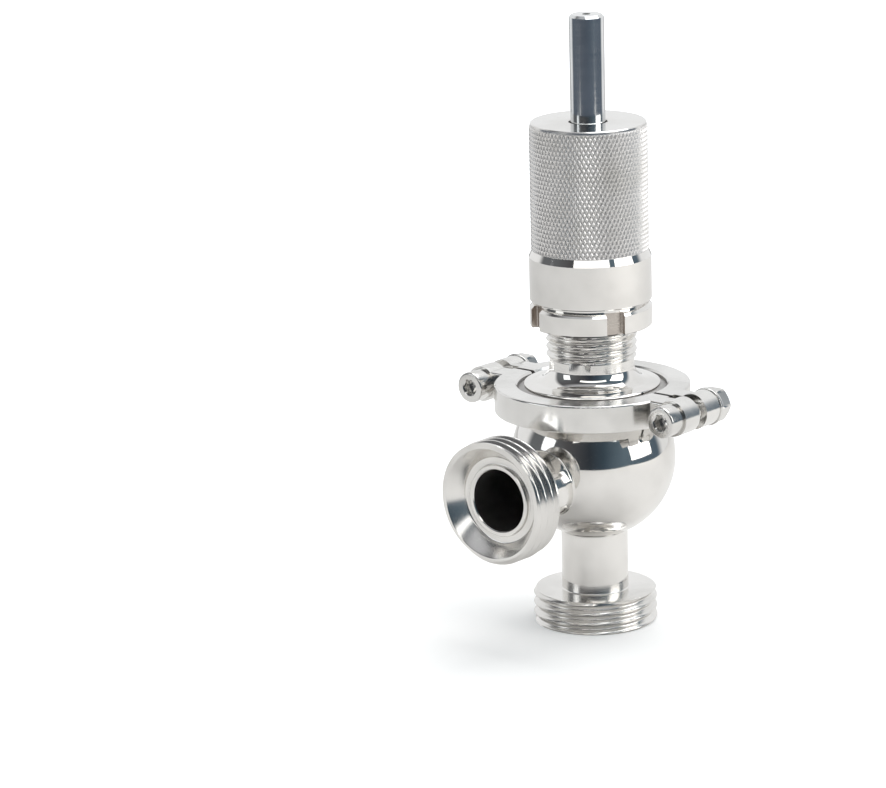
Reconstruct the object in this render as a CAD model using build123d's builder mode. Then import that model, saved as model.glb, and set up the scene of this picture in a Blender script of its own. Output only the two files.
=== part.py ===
from build123d import *
import os
from math import asin, degrees, radians, sqrt, tan

# Spring-loaded sanitary relief valve, DN 25, angle pattern.
# Frame: the origin is the centre of the inlet's face, +Z runs up the valve axis, +X points out of the
# outlet. Millimetres. Heights named "..._height" are measured up from the inlet's face.

# ---- Tube and union size (DN 25 metric sanitary tube, DIN 11851 male part with Rd 52 x 1/6 thread) ----
tube_diameter = 28.0
tube_wall = 1.0
union_diameter = 52.0
union_length = 14.0
union_face_chamfer = 0.5
union_back_chamfer = 1.5
union_neck = 3.5
union_blend = 0.6
round_pitch = 25.4 / 6
round_groove_count = 3
round_groove_width = 2.9
round_groove_depth = 1.4
recess_mouth_diameter = 45.6
recess_floor_diameter = 37.0
recess_depth = 7.0
lip_wall = 2.0
lip_height = 1.5

# ---- Body ----
bowl_diameter = 69.0
bowl_wall = 2.0
bowl_height = 71.0
outlet_height = 66.0
outlet_reach = 69.0
collar_length = 1.2
collar_blend = 1.0
ferrule_neck_diameter = 58.0

# ---- Flange joint between body and bonnet ----
ferrule_height = 6.5
flange_diameter = 72.0
flange_rim = 1.4
flange_slope = 20.0
gasket_thickness = 1.6
gasket_width = 4.6
bead_radius = 1.2
bead_clearance = 0.05

# ---- Two-bolt clamp ----
clamp_wall = 5.0
clamp_height = 11.7
clamp_neck_clearance = 2.3
clamp_groove_clearance = 0.5
clamp_face_clearance = 0.02
clamp_chamfer = 0.8
clamp_edge = 0.8
ring_gap = 2.0
ear_gap = 4.9
ear_length = 9.3
ear_blend = 3.0
boss_diameter = 15.0
bolt_standoff = 9.2
screw_diameter = 8.0
screw_length = 35.0
screw_hole_clearance = 0.5
head_diameter = 13.0
head_height = 8.0
screw_chamfer = 0.7
socket_width = 6.0
socket_depth = 4.0
washer_diameter = 16.0
washer_thickness = 1.6
nut_width = 13.0
nut_height = 6.5

# ---- Bonnet ----
register_depth = 1.2
register_clearance = 0.3
hub_diameter = 57.0
hub_rise = 6.3
hub_edge = 0.5
blend_radius = 6.5
blend_rise = 7.2
band_diameter = 35.6
band_length = 3.7
thread_diameter = 38.0
thread_length = 70.6
thread_chamfer = 1.0
chamber_diameter = 31.0
chamber_floor_rise = 11.0
gland_diameter = 23.0
gland_depth = 15.0
gland_floor = 2.0
gland_wall = 2.5
gland_bore_clearance = 0.5

# ---- Stem and its guide ----
stem_diameter = 14.5
stem_top_rise = 161.1
stem_chamfer = 1.0
stem_clearance = 0.05
shank_diameter = 10.0
tap_drill_diameter = 3.3
tap_depth = 9.0
seal_height = 4.5
bush_flange_clearance = 2.0
bush_flange_thickness = 2.0

# ---- Seat and disc ----
seat_width = 4.0
seat_height = 5.8
seat_face = 2.2
seal_gap = 0.3
disc_diameter = 34.0
disc_rim = 3.0
disc_height = 9.0
disc_hub_diameter = 20.0
disc_seal_height = 3.3
disc_seal_toe = 0.55
disc_seal_bore = 18.0
retainer_clearance = 1.5
retainer_thickness = 2.5
disc_nut_width = 15.0
disc_nut_height = 7.0
disc_nut_dome = 3.0

# ---- Spring pack ----
plate_height_rise = 20.5
plate_clearance = 1.0
plate_thickness = 4.0
plate_hub_clearance = 0.6
plate_hub_height = 4.5
plate_chamfer = 0.5
circlip_thickness = 1.5
circlip_width = 2.4
circlip_groove = 0.8
circlip_opening = 5.0
carrier_clearance = 0.35
thrust_washer_thickness = 2.0
spring_wire = 3.6
spring_inset = 0.5
spring_turns = 9.5

# ---- Lock ring and adjusting cap ----
thread_clearance = 0.05
exposed_thread = 13.8
lock_ring_diameter = 51.0
lock_ring_height = 9.25
lock_ring_chamfer = 1.4
lock_ring_edge = 0.4
lock_hub_rise = 1.45
slot_count = 4
slot_width = 8.0
slot_depth = 3.0
slot_angle = 62.0
slot_edge = 0.3
cap_gap = 0.3
cap_skirt_diameter = 51.0
cap_skirt_length = 18.3
cap_skirt_edge = 0.3
cap_grip_diameter = 49.0
cap_bevel_height = 2.9
cap_bevel_depth = 1.3
cap_height = 74.6
cap_edge = 1.2
cap_top_thickness = 8.0
cap_hole_clearance = 0.85

# ---- Sizes that follow from the ones above ----
tube_bore = tube_diameter - 2 * tube_wall
lip_diameter = tube_bore + 2 * lip_wall
weld_height = bowl_height + sqrt((bowl_diameter / 2) ** 2 - (ferrule_neck_diameter / 2) ** 2)
joint_height = weld_height + ferrule_height + gasket_thickness / 2
body_face_height = joint_height - gasket_thickness / 2
bonnet_face_height = joint_height + gasket_thickness / 2
slope = tan(radians(flange_slope))
outlet_drop = abs(bowl_height - outlet_height)
inlet_collar = sqrt((bowl_diameter / 2) ** 2 - (tube_diameter / 2) ** 2) + collar_length
outlet_collar = sqrt((bowl_diameter / 2) ** 2 - (tube_diameter / 2 - outlet_drop) ** 2) + collar_length
bead_circle = (ferrule_neck_diameter + gasket_width) / 2
clamp_diameter = flange_diameter + 2 * clamp_wall
clamp_opening = max(ferrule_neck_diameter, hub_diameter) + 2 * clamp_neck_clearance
bolt_offset = clamp_diameter / 2 + bolt_standoff
ear_face = ear_gap / 2
boss_face = ear_face + ear_length
chamber_floor_height = joint_height + chamber_floor_rise
gland_floor_height = chamber_floor_height - gland_depth
bush_bottom_height = gland_floor_height + seal_height
band_height = joint_height + hub_rise + blend_rise
thread_height = band_height + band_length
bonnet_top_height = thread_height + thread_length
stem_top_height = joint_height + stem_top_rise
plate_height = joint_height + plate_height_rise
spring_seat_height = plate_height + plate_thickness
lock_ring_bottom = thread_height + exposed_thread
cap_bottom = lock_ring_bottom + lock_ring_height + lock_hub_rise + cap_gap
cap_top = cap_bottom + cap_height
cap_ceiling = cap_top - cap_top_thickness
carrier_top = cap_ceiling - thrust_washer_thickness
spring_top_height = carrier_top - plate_thickness
seat_foot_height = bowl_height - sqrt((bowl_diameter / 2 - bowl_wall) ** 2 - (tube_bore / 2) ** 2)
seat_top_height = seat_foot_height + seat_height
disc_height_bottom = seat_top_height + seal_gap
shank_top_height = disc_height_bottom + disc_height
seal_bottom_height = disc_height_bottom - disc_seal_height
retainer_bottom = seal_bottom_height - retainer_thickness
nut_bottom = retainer_bottom - disc_nut_height
stem_slide = stem_diameter / 2 + stem_clearance
retainer_diameter = tube_bore - 2 * retainer_clearance
bush_flange_diameter = chamber_diameter - 2 * bush_flange_clearance
plate_diameter = chamber_diameter - 2 * plate_clearance
spring_diameter = plate_diameter - 2 * spring_inset
plate_hub_diameter = spring_diameter - 2 * (spring_wire + plate_hub_clearance)
cap_hole_diameter = stem_diameter + 2 * cap_hole_clearance
carrier_bore = stem_diameter / 2 + carrier_clearance
thread_bore = thread_diameter / 2 + thread_clearance

inlet_mouth = Plane(origin=(0, 0, 0), x_dir=(1, 0, 0), z_dir=(0, 0, 1))
outlet_mouth = Plane(origin=(outlet_reach, 0, outlet_height), x_dir=(0, 0, 1), z_dir=(-1, 0, 0))


# ---- Shared shapes ----
def section_plane(mouth):
    """Plane that holds a port's axis: its x is the radius, its y the depth from the port's face."""
    return Plane(origin=mouth.origin, x_dir=mouth.x_dir, z_dir=-mouth.y_dir)


def outline(points, plane=Plane.XZ):
    """Closed face through the (radius, height) points of a turned piece."""
    with BuildSketch(plane) as face:
        with BuildLine():
            Polyline(*points, close=True)
        make_face()
    return face.sketch


def bowl_section(inset):
    """Rear half section of the bowl's ball, moved in by inset and cut off level with its weld line."""
    ball_radius = bowl_diameter / 2 - inset
    rim_angle = degrees(asin((weld_height - bowl_height) / ball_radius))
    with BuildSketch(Plane(origin=(0, 0, 0), x_dir=(-1, 0, 0), z_dir=(0, 1, 0))) as face:
        with BuildLine():
            ball = CenterArc((0, bowl_height), ball_radius, -90, 90 + rim_angle)
            Polyline(ball @ 1, (0, weld_height), ball @ 0)
        make_face()
    return face.sketch


def write(piece, label):
    """Label a finished piece and write it under its node's name."""
    piece.part.label = label
    export_step(piece.part, f"parts/{label}.step")


os.makedirs("parts", exist_ok=True)


# ---- Welded body ----
def male_union(mouth):
    """DIN 11851 male part: thread collar with a conical seat recess and a short neck for the tube."""
    neck_end = union_length + union_neck
    thread_middle = (union_face_chamfer + union_length - union_back_chamfer) / 2
    with BuildPart() as union:
        with BuildSketch(section_plane(mouth)):
            with BuildLine():
                front = Polyline(
                    (recess_mouth_diameter / 2, 0),
                    (union_diameter / 2 - union_face_chamfer, 0),
                    (union_diameter / 2, union_face_chamfer),
                    (union_diameter / 2, union_length - union_back_chamfer),
                    (union_diameter / 2 - union_back_chamfer, union_length),
                    (tube_diameter / 2 + union_blend, union_length),
                )
                blend = TangentArc(
                    front @ 1, (tube_diameter / 2, union_length + union_blend), tangent=(-1, 0)
                )
                Polyline(
                    blend @ 1,
                    (tube_diameter / 2, neck_end),
                    (tube_bore / 2, neck_end),
                    (tube_bore / 2, recess_depth - lip_height),
                    (lip_diameter / 2, recess_depth - lip_height),
                    (lip_diameter / 2, recess_depth),
                    (recess_floor_diameter / 2, recess_depth),
                    (recess_mouth_diameter / 2, 0),
                )
            make_face()
        revolve(axis=Axis(mouth.origin, mouth.z_dir))
        with BuildSketch(section_plane(mouth)):
            with Locations((union_diameter / 2, thread_middle)):
                with GridLocations(0, round_pitch, 1, round_groove_count):
                    Ellipse(round_groove_depth, round_groove_width / 2)
        revolve(axis=Axis(mouth.origin, mouth.z_dir), mode=Mode.SUBTRACT)
    return union


def port_tube(mouth, length):
    """Tube between a union's neck and the collar on the bowl, which ends at length from the mouth."""
    start = union_length + union_neck
    with BuildPart() as tube:
        with BuildSketch(mouth.offset(start)):
            Circle(tube_diameter / 2)
            Circle(tube_bore / 2, mode=Mode.SUBTRACT)
        extrude(amount=length - start)
    return tube


inlet_union = male_union(inlet_mouth)
outlet_union = male_union(outlet_mouth)
inlet_tube = port_tube(inlet_mouth, bowl_height - inlet_collar)
outlet_tube = port_tube(outlet_mouth, outlet_reach - outlet_collar)

# Bowl: a hollow ball with a pulled collar for each port, open at the top.
ports = (
    (inlet_mouth.offset(bowl_height), inlet_collar),
    (outlet_mouth.offset(outlet_reach), outlet_collar),
)
with BuildPart() as body_bowl:
    revolve(bowl_section(0), axis=Axis.Z)
    for port, collar in ports:
        with BuildSketch(port):
            Circle(tube_diameter / 2)
        extrude(amount=-collar)
        fillet(body_bowl.edges(Select.NEW), collar_blend)
    revolve(bowl_section(bowl_wall), axis=Axis.Z, mode=Mode.SUBTRACT)
    for port, collar in ports:
        with BuildSketch(port):
            Circle(tube_bore / 2)
        extrude(amount=-max(collar, bowl_diameter / 2), mode=Mode.SUBTRACT)

# Body ferrule: the lower clamp flange, welded to the bowl's rim.
with BuildPart() as body_ferrule:
    neck = ferrule_neck_diameter / 2
    lip_foot = body_face_height - flange_rim - (flange_diameter / 2 - neck) * slope
    revolve(
        outline(
            [
                (neck - bowl_wall, weld_height),
                (neck, weld_height),
                (neck, lip_foot),
                (flange_diameter / 2, body_face_height - flange_rim),
                (flange_diameter / 2, body_face_height),
                (neck - bowl_wall, body_face_height),
            ]
        ),
        axis=Axis.Z,
    )
    with BuildSketch(Plane.XZ):
        with Locations((bead_circle, joint_height)):
            Circle(bead_radius + bead_clearance)
    revolve(axis=Axis.Z, mode=Mode.SUBTRACT)

# Seat ring: stands on the bowl's inside round the inlet, with a 45 degree seat face at its mouth.
with BuildPart() as valve_seat:
    inner_ball = bowl_diameter / 2 - bowl_wall
    seat_outer = tube_bore / 2 + seat_width
    seat_heel_height = bowl_height - sqrt(inner_ball**2 - seat_outer**2)
    with BuildSketch(Plane.XZ):
        with BuildLine():
            foot = RadiusArc(
                (tube_bore / 2, seat_foot_height), (seat_outer, seat_heel_height), -inner_ball
            )
            Polyline(
                foot @ 1,
                (seat_outer, seat_top_height),
                (tube_bore / 2 + seat_face, seat_top_height),
                (tube_bore / 2, seat_top_height - seat_face),
                foot @ 0,
            )
        make_face()
    revolve(axis=Axis.Z)

# ---- Flange joint ----
with BuildPart() as body_gasket:
    with BuildSketch(Plane.XZ):
        with Locations((bead_circle, joint_height)):
            Rectangle(gasket_width, gasket_thickness)
            Circle(bead_radius)
    revolve(axis=Axis.Z)


def clamp_half(side):
    """Half of the two-bolt clamp on one side of its split plane, side +1 towards the outlet."""
    half_height = clamp_height / 2
    groove = flange_diameter / 2 + clamp_groove_clearance
    rim_half = gasket_thickness / 2 + flange_rim + clamp_face_clearance
    mouth_radius = clamp_opening / 2
    mouth_half = rim_half + (flange_diameter / 2 - mouth_radius) * slope
    groove_half = rim_half - clamp_groove_clearance * slope
    edge = clamp_chamfer
    with BuildPart() as half:
        with BuildSketch(Plane.XY.offset(joint_height - half_height)):
            Circle(clamp_diameter / 2)
        extrude(amount=clamp_height)
        with BuildSketch(Plane.XY.offset(joint_height - half_height)):
            with Locations((side * boss_face / 2, 0)):
                Rectangle(boss_face, 2 * bolt_offset)
        extrude(amount=clamp_height)
        corners = half.edges().filter_by(Axis.Z).filter_by_position(
            Axis.X, min(0, side * boss_face) - 0.01, max(0, side * boss_face) + 0.01
        )
        fillet(corners.group_by(Axis.Y)[1] + corners.group_by(Axis.Y)[-2], ear_blend)
        ends = half.faces().filter_by(Axis.Z).sort_by(Axis.Z)
        fillet(ends[0].outer_wire().edges() + ends[-1].outer_wire().edges(), clamp_edge)
        for end in (-1, 1):
            with BuildSketch(Plane(origin=(0, end * bolt_offset, joint_height), z_dir=(side, 0, 0))):
                Circle(boss_diameter / 2)
            extrude(amount=boss_face)
        revolve(
            outline(
                [
                    (0, joint_height - half_height),
                    (mouth_radius + edge, joint_height - half_height),
                    (mouth_radius, joint_height - half_height + edge),
                    (mouth_radius, joint_height - mouth_half),
                    (groove, joint_height - groove_half),
                    (groove, joint_height + groove_half),
                    (mouth_radius, joint_height + mouth_half),
                    (mouth_radius, joint_height + half_height - edge),
                    (mouth_radius + edge, joint_height + half_height),
                    (0, joint_height + half_height),
                ]
            ),
            axis=Axis.Z,
            mode=Mode.SUBTRACT,
        )
        split(bisect_by=Plane(origin=(side * ring_gap / 2, 0, 0), z_dir=(side, 0, 0)), keep=Keep.TOP)
        for end in (-1, 1):
            with BuildSketch(Plane(origin=(0, end * bolt_offset, joint_height), z_dir=(side, 0, 0))):
                Rectangle(clamp_height + boss_diameter, 2 * (bolt_offset - clamp_diameter / 2))
            extrude(amount=ear_face, mode=Mode.SUBTRACT)
            with BuildSketch(Plane(origin=(0, end * bolt_offset, joint_height), z_dir=(side, 0, 0))):
                Circle(screw_diameter / 2 + screw_hole_clearance)
            extrude(amount=boss_face, mode=Mode.SUBTRACT)
    return half


clamp_half_outlet = clamp_half(1)
clamp_half_rear = clamp_half(-1)


def bolt_planes(x):
    """One plane per clamp bolt at the given x, facing the outlet side."""
    return [Plane(origin=(x, end * bolt_offset, joint_height), z_dir=(1, 0, 0)) for end in (-1, 1)]


with BuildPart() as clamp_screws:
    for seat in bolt_planes(boss_face):
        with BuildSketch(seat):
            Circle(head_diameter / 2)
        extrude(amount=head_height)
        with BuildSketch(seat):
            Circle(screw_diameter / 2)
        extrude(amount=-screw_length)
        with BuildSketch(seat.offset(head_height)):
            RegularPolygon(socket_width / 2, 6, major_radius=False)
        extrude(amount=-socket_depth, mode=Mode.SUBTRACT)
    rims = clamp_screws.edges().filter_by(GeomType.CIRCLE)
    chamfer(rims.group_by(Axis.X)[-1] + rims.group_by(Axis.X)[0], screw_chamfer)

with BuildPart() as clamp_washers:
    for seat in bolt_planes(-boss_face):
        with BuildSketch(seat):
            Circle(washer_diameter / 2)
            Circle(screw_diameter / 2 + screw_hole_clearance / 2, mode=Mode.SUBTRACT)
        extrude(amount=-washer_thickness)

with BuildPart() as clamp_nuts:
    for seat in bolt_planes(-boss_face - washer_thickness):
        with BuildSketch(seat):
            RegularPolygon(nut_width / 2, 6, major_radius=False)
            Circle(screw_diameter / 2, mode=Mode.SUBTRACT)
        extrude(amount=-nut_height)

# ---- Bonnet ----
with BuildPart() as bonnet:
    hub_height = joint_height + hub_rise
    hub = hub_diameter / 2
    lip_top = bonnet_face_height + flange_rim + (flange_diameter / 2 - hub) * slope
    register = ferrule_neck_diameter / 2 - bowl_wall - register_clearance
    boss = gland_diameter / 2 + gland_wall
    boss_bottom = gland_floor_height - gland_floor
    stem_hole = stem_diameter / 2 + gland_bore_clearance
    band = band_diameter / 2
    with BuildSketch(Plane.XZ):
        with BuildLine():
            base = Polyline(
                (stem_hole, boss_bottom),
                (boss, boss_bottom),
                (boss, bonnet_face_height - register_depth - gasket_thickness),
                (register, bonnet_face_height - register_depth - gasket_thickness),
                (register, bonnet_face_height),
                (flange_diameter / 2, bonnet_face_height),
                (flange_diameter / 2, bonnet_face_height + flange_rim),
                (hub, lip_top),
                (hub, hub_height),
                (band + blend_radius, band_height - blend_radius),
            )
            blend = TangentArc(base @ 1, (band, band_height), tangent=(-1, 0))
            Polyline(
                blend @ 1,
                (band, thread_height),
                (thread_diameter / 2, thread_height + thread_diameter / 2 - band),
                (thread_diameter / 2, bonnet_top_height - thread_chamfer),
                (thread_diameter / 2 - thread_chamfer, bonnet_top_height),
                (chamber_diameter / 2, bonnet_top_height),
                (chamber_diameter / 2, chamber_floor_height),
                (gland_diameter / 2, chamber_floor_height),
                (gland_diameter / 2, gland_floor_height),
                (stem_hole, gland_floor_height),
                base @ 0,
            )
        make_face()
    revolve(axis=Axis.Z)
    fillet(bonnet.edges().filter_by(GeomType.CIRCLE).sort_by_distance((hub, 0, hub_height))[0], hub_edge)
    with BuildSketch(Plane.XZ):
        with Locations((bead_circle, joint_height)):
            Circle(bead_radius + bead_clearance)
    revolve(axis=Axis.Z, mode=Mode.SUBTRACT)

with BuildPart() as stem_seal:
    revolve(
        outline(
            [
                (stem_slide, gland_floor_height),
                (gland_diameter / 2, gland_floor_height),
                (gland_diameter / 2, bush_bottom_height),
                (stem_slide, bush_bottom_height),
            ]
        ),
        axis=Axis.Z,
    )

with BuildPart() as guide_bush:
    revolve(
        outline(
            [
                (stem_slide, bush_bottom_height),
                (gland_diameter / 2, bush_bottom_height),
                (gland_diameter / 2, chamber_floor_height),
                (bush_flange_diameter / 2, chamber_floor_height),
                (bush_flange_diameter / 2, chamber_floor_height + bush_flange_thickness),
                (stem_slide, chamber_floor_height + bush_flange_thickness),
            ]
        ),
        axis=Axis.Z,
    )

# ---- Stem and disc ----
circlip_bottom = plate_height - circlip_thickness
with BuildPart() as stem:
    groove = stem_diameter / 2 - circlip_groove
    revolve(
        outline(
            [
                (0, nut_bottom + disc_nut_dome),
                (shank_diameter / 2, nut_bottom + disc_nut_dome),
                (shank_diameter / 2, shank_top_height),
                (stem_diameter / 2, shank_top_height),
                (stem_diameter / 2, circlip_bottom),
                (groove, circlip_bottom),
                (groove, plate_height),
                (stem_diameter / 2, plate_height),
                (stem_diameter / 2, stem_top_height - stem_chamfer),
                (stem_diameter / 2 - stem_chamfer, stem_top_height),
                (0, stem_top_height),
            ]
        ),
        axis=Axis.Z,
    )
    with Locations((0, 0, stem_top_height)):
        Hole(tap_drill_diameter / 2, depth=tap_depth)

with BuildPart() as valve_disc:
    revolve(
        outline(
            [
                (shank_diameter / 2, disc_height_bottom - disc_seal_height),
                (disc_seal_bore / 2, disc_height_bottom - disc_seal_height),
                (disc_seal_bore / 2, disc_height_bottom),
                (disc_diameter / 2, disc_height_bottom),
                (disc_diameter / 2, disc_height_bottom + disc_rim),
                (disc_hub_diameter / 2, shank_top_height),
                (shank_diameter / 2, shank_top_height),
            ]
        ),
        axis=Axis.Z,
    )

with BuildPart() as disc_seal:
    seat_line = tube_bore / 2 + seat_face - seat_top_height - seal_gap * sqrt(2)
    seal_toe = seal_bottom_height + disc_seal_toe
    revolve(
        outline(
            [
                (disc_seal_bore / 2, seal_bottom_height),
                (seat_line + seal_toe, seal_bottom_height),
                (seat_line + seal_toe, seal_toe),
                (seat_line + disc_height_bottom, disc_height_bottom),
                (disc_seal_bore / 2, disc_height_bottom),
            ]
        ),
        axis=Axis.Z,
    )

with BuildPart() as seal_retainer:
    with BuildSketch(Plane.XY.offset(retainer_bottom)):
        Circle(retainer_diameter / 2)
        Circle(shank_diameter / 2, mode=Mode.SUBTRACT)
    extrude(amount=retainer_thickness)

# Domed nut on the stem's lower end, smooth towards the flow.
with BuildPart() as disc_nut:
    with BuildSketch(Plane.XY.offset(nut_bottom + disc_nut_dome)):
        RegularPolygon(disc_nut_width / 2, 6, major_radius=False)
        Circle(shank_diameter / 2, mode=Mode.SUBTRACT)
    extrude(amount=disc_nut_height - disc_nut_dome)
    with BuildSketch(Plane.XZ):
        with BuildLine():
            dome = TangentArc(
                (0, nut_bottom), (disc_nut_width / 2, nut_bottom + disc_nut_dome), tangent=(1, 0)
            )
            Polyline(dome @ 1, (0, nut_bottom + disc_nut_dome), (0, nut_bottom))
        make_face()
    revolve(axis=Axis.Z)

# ---- Spring pack ----
with BuildPart() as spring_circlip:
    with BuildSketch(Plane.XY.offset(circlip_bottom)):
        Circle(groove + circlip_width)
        Circle(groove, mode=Mode.SUBTRACT)
        with Locations((-groove - circlip_width / 2, 0)):
            Rectangle(2 * circlip_width, circlip_opening, mode=Mode.SUBTRACT)
    extrude(amount=circlip_thickness)

with BuildPart() as lower_spring_plate:
    with BuildSketch(Plane.XY.offset(plate_height)):
        Circle(plate_diameter / 2)
    extrude(amount=plate_thickness)
    with BuildSketch(Plane.XY.offset(spring_seat_height)):
        Circle(plate_hub_diameter / 2)
    extrude(amount=plate_hub_height)
    with BuildSketch(Plane.XY.offset(plate_height)):
        Circle(stem_slide)
    extrude(amount=plate_thickness + plate_hub_height, mode=Mode.SUBTRACT)
    chamfer(lower_spring_plate.edges().group_by(Axis.Z)[-1], plate_chamfer)

with BuildPart() as upper_spring_plate:
    with BuildSketch(Plane.XY.offset(spring_top_height)):
        Circle(plate_diameter / 2)
    extrude(amount=plate_thickness)
    with BuildSketch(Plane.XY.offset(spring_top_height)):
        Circle(plate_hub_diameter / 2)
    extrude(amount=-plate_hub_height)
    with BuildSketch(Plane.XY.offset(carrier_top)):
        Circle(carrier_bore)
    extrude(amount=-plate_thickness - plate_hub_height, mode=Mode.SUBTRACT)
    chamfer(upper_spring_plate.edges().group_by(Axis.Z)[0], plate_chamfer)

with BuildPart() as thrust_washer:
    with BuildSketch(Plane.XY.offset(carrier_top)):
        Circle(plate_diameter / 2)
        Circle(carrier_bore, mode=Mode.SUBTRACT)
    extrude(amount=thrust_washer_thickness)

# Compression spring: wire swept along a helix, ground flat where it sits on its plates.
spring_length = spring_top_height - spring_seat_height
spring_pitch = spring_length / spring_turns
with BuildPart() as relief_spring:
    with BuildLine():
        coil = Helix(
            pitch=spring_pitch,
            height=spring_length,
            radius=(spring_diameter - spring_wire) / 2,
            center=(0, 0, spring_seat_height),
        )
    with BuildSketch(Plane(origin=coil @ 0, z_dir=coil % 0)):
        Circle(spring_wire / 2)
    sweep()
    split(bisect_by=Plane.XY.offset(spring_seat_height), keep=Keep.TOP)
    split(bisect_by=Plane.XY.offset(spring_top_height), keep=Keep.BOTTOM)

# ---- Lock ring and adjusting cap ----
with BuildPart() as lock_ring:
    ring = lock_ring_diameter / 2
    hub_of_ring = ring - slot_depth
    ring_top = lock_ring_bottom + lock_ring_height
    revolve(
        outline(
            [
                (thread_bore, lock_ring_bottom),
                (ring - lock_ring_edge, lock_ring_bottom),
                (ring, lock_ring_bottom + lock_ring_edge),
                (ring, ring_top - lock_ring_chamfer),
                (ring - lock_ring_chamfer, ring_top),
                (hub_of_ring, ring_top),
                (hub_of_ring, ring_top + lock_hub_rise),
                (thread_bore, ring_top + lock_hub_rise),
            ]
        ),
        axis=Axis.Z,
    )
    with BuildSketch(Plane.XY.offset(lock_ring_bottom)):
        with PolarLocations(ring, slot_count, start_angle=slot_angle):
            Rectangle(2 * slot_depth, slot_width)
    extrude(amount=lock_ring_height, mode=Mode.SUBTRACT)
    mouths = lock_ring.edges(Select.LAST).filter_by(Axis.Z).group_by(SortBy.DISTANCE)[-1]
    chamfer(mouths, slot_edge)

with BuildPart() as adjusting_cap:
    skirt = cap_skirt_diameter / 2
    grip = cap_grip_diameter / 2
    skirt_top = cap_bottom + cap_skirt_length
    revolve(
        outline(
            [
                (thread_bore, cap_bottom),
                (skirt - cap_skirt_edge, cap_bottom),
                (skirt, cap_bottom + cap_skirt_edge),
                (skirt, skirt_top),
                (skirt - cap_bevel_depth, skirt_top + cap_bevel_height),
                (grip, skirt_top + cap_bevel_height),
                (grip, cap_top - cap_edge),
                (grip - cap_edge, cap_top),
                (cap_hole_diameter / 2, cap_top),
                (cap_hole_diameter / 2, cap_ceiling),
                (thread_bore, cap_ceiling),
            ]
        ),
        axis=Axis.Z,
    )

# ---- Write the pieces ----
write(inlet_union, "inlet_union")
write(inlet_tube, "inlet_tube")
write(body_bowl, "body_bowl")
write(outlet_tube, "outlet_tube")
write(outlet_union, "outlet_union")
write(valve_seat, "valve_seat")
write(body_ferrule, "body_ferrule")
write(body_gasket, "body_gasket")
write(clamp_half_outlet, "clamp_half_outlet")
write(clamp_half_rear, "clamp_half_rear")
write(clamp_screws, "clamp_screws")
write(clamp_washers, "clamp_washers")
write(clamp_nuts, "clamp_nuts")
write(bonnet, "bonnet")
write(stem_seal, "stem_seal")
write(guide_bush, "guide_bush")
write(stem, "stem")
write(valve_disc, "valve_disc")
write(disc_seal, "disc_seal")
write(seal_retainer, "seal_retainer")
write(disc_nut, "disc_nut")
write(spring_circlip, "spring_circlip")
write(lower_spring_plate, "lower_spring_plate")
write(relief_spring, "relief_spring")
write(upper_spring_plate, "upper_spring_plate")
write(thrust_washer, "thrust_washer")
write(lock_ring, "lock_ring")
write(adjusting_cap, "adjusting_cap")
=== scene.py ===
"""Looks of a spring-loaded sanitary relief valve: finishes, threads, knurl, fasteners and studio."""

import logging
import math
from dataclasses import dataclass, field
from enum import Enum
from typing import Callable, Sequence

import bpy
from mathutils import Matrix, Vector


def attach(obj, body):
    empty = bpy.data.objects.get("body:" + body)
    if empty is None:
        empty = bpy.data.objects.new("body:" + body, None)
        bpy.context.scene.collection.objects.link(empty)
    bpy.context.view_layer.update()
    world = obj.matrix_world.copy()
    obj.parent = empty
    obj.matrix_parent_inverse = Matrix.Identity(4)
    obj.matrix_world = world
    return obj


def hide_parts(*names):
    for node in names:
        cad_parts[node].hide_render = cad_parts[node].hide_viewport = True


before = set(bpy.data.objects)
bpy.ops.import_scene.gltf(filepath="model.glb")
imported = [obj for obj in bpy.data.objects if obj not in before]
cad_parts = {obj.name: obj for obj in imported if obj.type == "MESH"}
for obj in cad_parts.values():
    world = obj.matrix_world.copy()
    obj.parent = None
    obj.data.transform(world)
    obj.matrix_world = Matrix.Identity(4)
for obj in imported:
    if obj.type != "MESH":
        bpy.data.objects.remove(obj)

log = logging.getLogger("relief_valve")
MM = 0.001

Point = tuple[float, float]
Triple = tuple[float, float, float]
Value = bpy.types.NodeSocket | float
Paint = bpy.types.NodeSocket | tuple
RadiusRule = Callable[[float, float, float], float]


# ---------------------------------------------------------------- shader tools


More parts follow.
